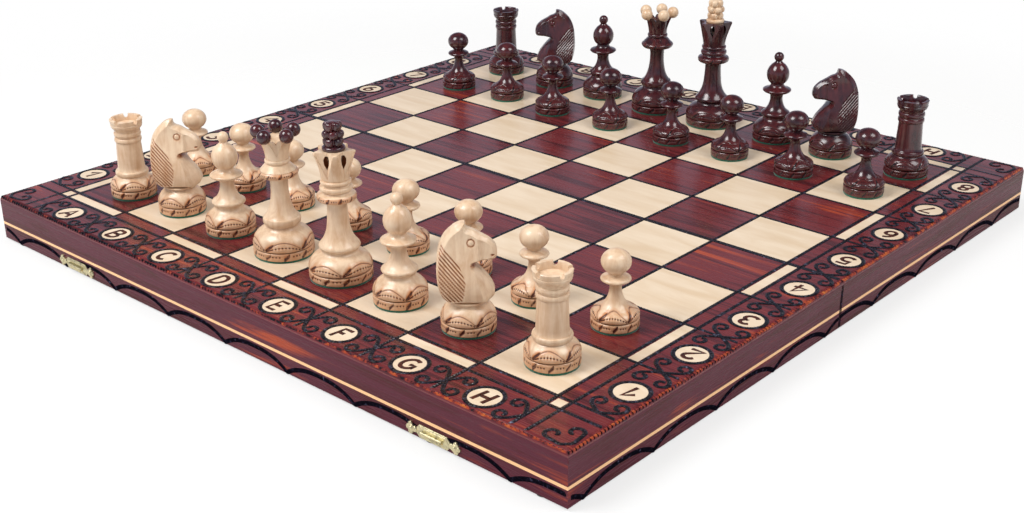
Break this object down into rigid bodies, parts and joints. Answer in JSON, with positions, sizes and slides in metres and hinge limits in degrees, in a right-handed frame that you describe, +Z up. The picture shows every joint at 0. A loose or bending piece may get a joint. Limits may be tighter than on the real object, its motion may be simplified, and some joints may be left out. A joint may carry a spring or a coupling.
{
  "type": "folding chess box",
  "caption": "Folding wooden chess box, opened flat as a playing board on hinged hollow halves, with latches, storage trays, inlaid squares and turned and carved men standing on it.",
  "frame": {"origin": "on the table under the middle of the opened board, on the line of the fold", "axes": "+X along the ranks from file a to file h, +Y from rank 1 to rank 8, across the fold, +Z up"},
  "size_m": [0.538, 0.544, 0.1375],
  "materials": {
    "board_wood": "glossy mahogany stain",
    "wall_wood": "glossy mahogany stain",
    "light_inlay": "varnished maple",
    "tray_flock": "green flock over wood",
    "pad_felt": "felt",
    "brass": "satin",
    "light_man_wood": "varnished boxwood with burnt lines",
    "dark_man_wood": "glossy dark stain"
  },
  "bodies": {
    "near_half": {"near_panel": "board_wood", "near_light_squares": "light_inlay", "near_border_inlays": "light_inlay", "near_front_wall": "wall_wood", "near_left_wall": "wall_wood", "near_right_wall": "wall_wood", "near_spine_wall": "wall_wood", "near_tray": "tray_flock", "near_felt_pads": "pad_felt", "near_hinge_leaves": "brass", "near_screws": "brass", "catch_plates": "brass", "hinge_pins": "brass"},
    "far_half": {"far_panel": "board_wood", "far_light_squares": "light_inlay", "far_border_inlays": "light_inlay", "far_back_wall": "wall_wood", "far_left_wall": "wall_wood", "far_right_wall": "wall_wood", "far_spine_wall": "wall_wood", "far_tray": "tray_flock", "far_felt_pads": "pad_felt", "far_hinge_leaves": "brass", "far_screws": "brass", "latch_plates": "brass", "latch_pins": "brass"},
    "left_latch": {"left_latch": "brass"},
    "right_latch": {"right_latch": "brass"},
    "light_rook_a1": {"light_rook_a1": "light_man_wood"},
    "light_knight_b1": {"light_knight_b1": "light_man_wood"},
    "light_bishop_c1": {"light_bishop_c1": "light_man_wood"},
    "light_queen_d1": {"light_queen_d1": "light_man_wood"},
    "light_king_e1": {"light_king_e1": "light_man_wood"},
    "light_bishop_f1": {"light_bishop_f1": "light_man_wood"},
    "light_knight_g1": {"light_knight_g1": "light_man_wood"},
    "light_rook_h1": {"light_rook_h1": "light_man_wood"},
    "light_pawn_a2": {"light_pawn_a2": "light_man_wood"},
    "light_pawn_b2": {"light_pawn_b2": "light_man_wood"},
    "light_pawn_c2": {"light_pawn_c2": "light_man_wood"},
    "light_pawn_d2": {"light_pawn_d2": "light_man_wood"},
    "light_pawn_e2": {"light_pawn_e2": "light_man_wood"},
    "light_pawn_f2": {"light_pawn_f2": "light_man_wood"},
    "light_pawn_g2": {"light_pawn_g2": "light_man_wood"},
    "light_pawn_h2": {"light_pawn_h2": "light_man_wood"},
    "dark_rook_a8": {"dark_rook_a8": "dark_man_wood"},
    "dark_knight_b8": {"dark_knight_b8": "dark_man_wood"},
    "dark_bishop_c8": {"dark_bishop_c8": "dark_man_wood"},
    "dark_queen_d8": {"dark_queen_d8": "dark_man_wood"},
    "dark_king_e8": {"dark_king_e8": "dark_man_wood"},
    "dark_bishop_f8": {"dark_bishop_f8": "dark_man_wood"},
    "dark_knight_g8": {"dark_knight_g8": "dark_man_wood"},
    "dark_rook_h8": {"dark_rook_h8": "dark_man_wood"},
    "dark_pawn_a7": {"dark_pawn_a7": "dark_man_wood"},
    "dark_pawn_b7": {"dark_pawn_b7": "dark_man_wood"},
    "dark_pawn_c7": {"dark_pawn_c7": "dark_man_wood"},
    "dark_pawn_d7": {"dark_pawn_d7": "dark_man_wood"},
    "dark_pawn_e7": {"dark_pawn_e7": "dark_man_wood"},
    "dark_pawn_f7": {"dark_pawn_f7": "dark_man_wood"},
    "dark_pawn_g7": {"dark_pawn_g7": "dark_man_wood"},
    "dark_pawn_h7": {"dark_pawn_h7": "dark_man_wood"}
  },
  "joints": [
    {"name": "board_fold", "type": "hinge", "parent": "near_half", "child": "far_half", "pos_m": [0, 0, 0.0015], "axis": [-1, 0, 0], "range_deg": [0, 179.6]},
    {"name": "clasp_left", "type": "hinge", "parent": "far_half", "child": "left_latch", "pos_m": [-0.174, 0.2705, 0.0047], "axis": [-1, 0, 0], "range_deg": [0, 180]},
    {"name": "clasp_right", "type": "hinge", "parent": "far_half", "child": "right_latch", "pos_m": [0.174, 0.2705, 0.0047], "axis": [-1, 0, 0], "range_deg": [0, 180]},
    {"name": "lift_light_rook_a1", "type": "slide", "parent": "near_half", "child": "light_rook_a1", "axis": [0, 0, 1], "range_m": [0, 0.11]},
    {"name": "lift_light_knight_b1", "type": "slide", "parent": "near_half", "child": "light_knight_b1", "axis": [0, 0, 1], "range_m": [0, 0.11]},
    {"name": "lift_light_bishop_c1", "type": "slide", "parent": "near_half", "child": "light_bishop_c1", "axis": [0, 0, 1], "range_m": [0, 0.11]},
    {"name": "lift_light_queen_d1", "type": "slide", "parent": "near_half", "child": "light_queen_d1", "axis": [0, 0, 1], "range_m": [0, 0.11]},
    {"name": "lift_light_king_e1", "type": "slide", "parent": "near_half", "child": "light_king_e1", "axis": [0, 0, 1], "range_m": [0, 0.11]},
    {"name": "lift_light_bishop_f1", "type": "slide", "parent": "near_half", "child": "light_bishop_f1", "axis": [0, 0, 1], "range_m": [0, 0.11]},
    {"name": "lift_light_knight_g1", "type": "slide", "parent": "near_half", "child": "light_knight_g1", "axis": [0, 0, 1], "range_m": [0, 0.11]},
    {"name": "lift_light_rook_h1", "type": "slide", "parent": "near_half", "child": "light_rook_h1", "axis": [0, 0, 1], "range_m": [0, 0.11]},
    {"name": "lift_light_pawn_a2", "type": "slide", "parent": "near_half", "child": "light_pawn_a2", "axis": [0, 0, 1], "range_m": [0, 0.11]},
    {"name": "lift_light_pawn_b2", "type": "slide", "parent": "near_half", "child": "light_pawn_b2", "axis": [0, 0, 1], "range_m": [0, 0.11]},
    {"name": "lift_light_pawn_c2", "type": "slide", "parent": "near_half", "child": "light_pawn_c2", "axis": [0, 0, 1], "range_m": [0, 0.11]},
    {"name": "lift_light_pawn_d2", "type": "slide", "parent": "near_half", "child": "light_pawn_d2", "axis": [0, 0, 1], "range_m": [0, 0.11]},
    {"name": "lift_light_pawn_e2", "type": "slide", "parent": "near_half", "child": "light_pawn_e2", "axis": [0, 0, 1], "range_m": [0, 0.11]},
    {"name": "lift_light_pawn_f2", "type": "slide", "parent": "near_half", "child": "light_pawn_f2", "axis": [0, 0, 1], "range_m": [0, 0.11]},
    {"name": "lift_light_pawn_g2", "type": "slide", "parent": "near_half", "child": "light_pawn_g2", "axis": [0, 0, 1], "range_m": [0, 0.11]},
    {"name": "lift_light_pawn_h2", "type": "slide", "parent": "near_half", "child": "light_pawn_h2", "axis": [0, 0, 1], "range_m": [0, 0.11]},
    {"name": "lift_dark_rook_a8", "type": "slide", "parent": "far_half", "child": "dark_rook_a8", "axis": [0, 0, 1], "range_m": [0, 0.11]},
    {"name": "lift_dark_knight_b8", "type": "slide", "parent": "far_half", "child": "dark_knight_b8", "axis": [0, 0, 1], "range_m": [0, 0.11]},
    {"name": "lift_dark_bishop_c8", "type": "slide", "parent": "far_half", "child": "dark_bishop_c8", "axis": [0, 0, 1], "range_m": [0, 0.11]},
    {"name": "lift_dark_queen_d8", "type": "slide", "parent": "far_half", "child": "dark_queen_d8", "axis": [0, 0, 1], "range_m": [0, 0.11]},
    {"name": "lift_dark_king_e8", "type": "slide", "parent": "far_half", "child": "dark_king_e8", "axis": [0, 0, 1], "range_m": [0, 0.11]},
    {"name": "lift_dark_bishop_f8", "type": "slide", "parent": "far_half", "child": "dark_bishop_f8", "axis": [0, 0, 1], "range_m": [0, 0.11]},
    {"name": "lift_dark_knight_g8", "type": "slide", "parent": "far_half", "child": "dark_knight_g8", "axis": [0, 0, 1], "range_m": [0, 0.11]},
    {"name": "lift_dark_rook_h8", "type": "slide", "parent": "far_half", "child": "dark_rook_h8", "axis": [0, 0, 1], "range_m": [0, 0.11]},
    {"name": "lift_dark_pawn_a7", "type": "slide", "parent": "far_half", "child": "dark_pawn_a7", "axis": [0, 0, 1], "range_m": [0, 0.11]},
    {"name": "lift_dark_pawn_b7", "type": "slide", "parent": "far_half", "child": "dark_pawn_b7", "axis": [0, 0, 1], "range_m": [0, 0.11]},
    {"name": "lift_dark_pawn_c7", "type": "slide", "parent": "far_half", "child": "dark_pawn_c7", "axis": [0, 0, 1], "range_m": [0, 0.11]},
    {"name": "lift_dark_pawn_d7", "type": "slide", "parent": "far_half", "child": "dark_pawn_d7", "axis": [0, 0, 1], "range_m": [0, 0.11]},
    {"name": "lift_dark_pawn_e7", "type": "slide", "parent": "far_half", "child": "dark_pawn_e7", "axis": [0, 0, 1], "range_m": [0, 0.11]},
    {"name": "lift_dark_pawn_f7", "type": "slide", "parent": "far_half", "child": "dark_pawn_f7", "axis": [0, 0, 1], "range_m": [0, 0.11]},
    {"name": "lift_dark_pawn_g7", "type": "slide", "parent": "far_half", "child": "dark_pawn_g7", "axis": [0, 0, 1], "range_m": [0, 0.11]},
    {"name": "lift_dark_pawn_h7", "type": "slide", "parent": "far_half", "child": "dark_pawn_h7", "axis": [0, 0, 1], "range_m": [0, 0.11]}
  ]
}
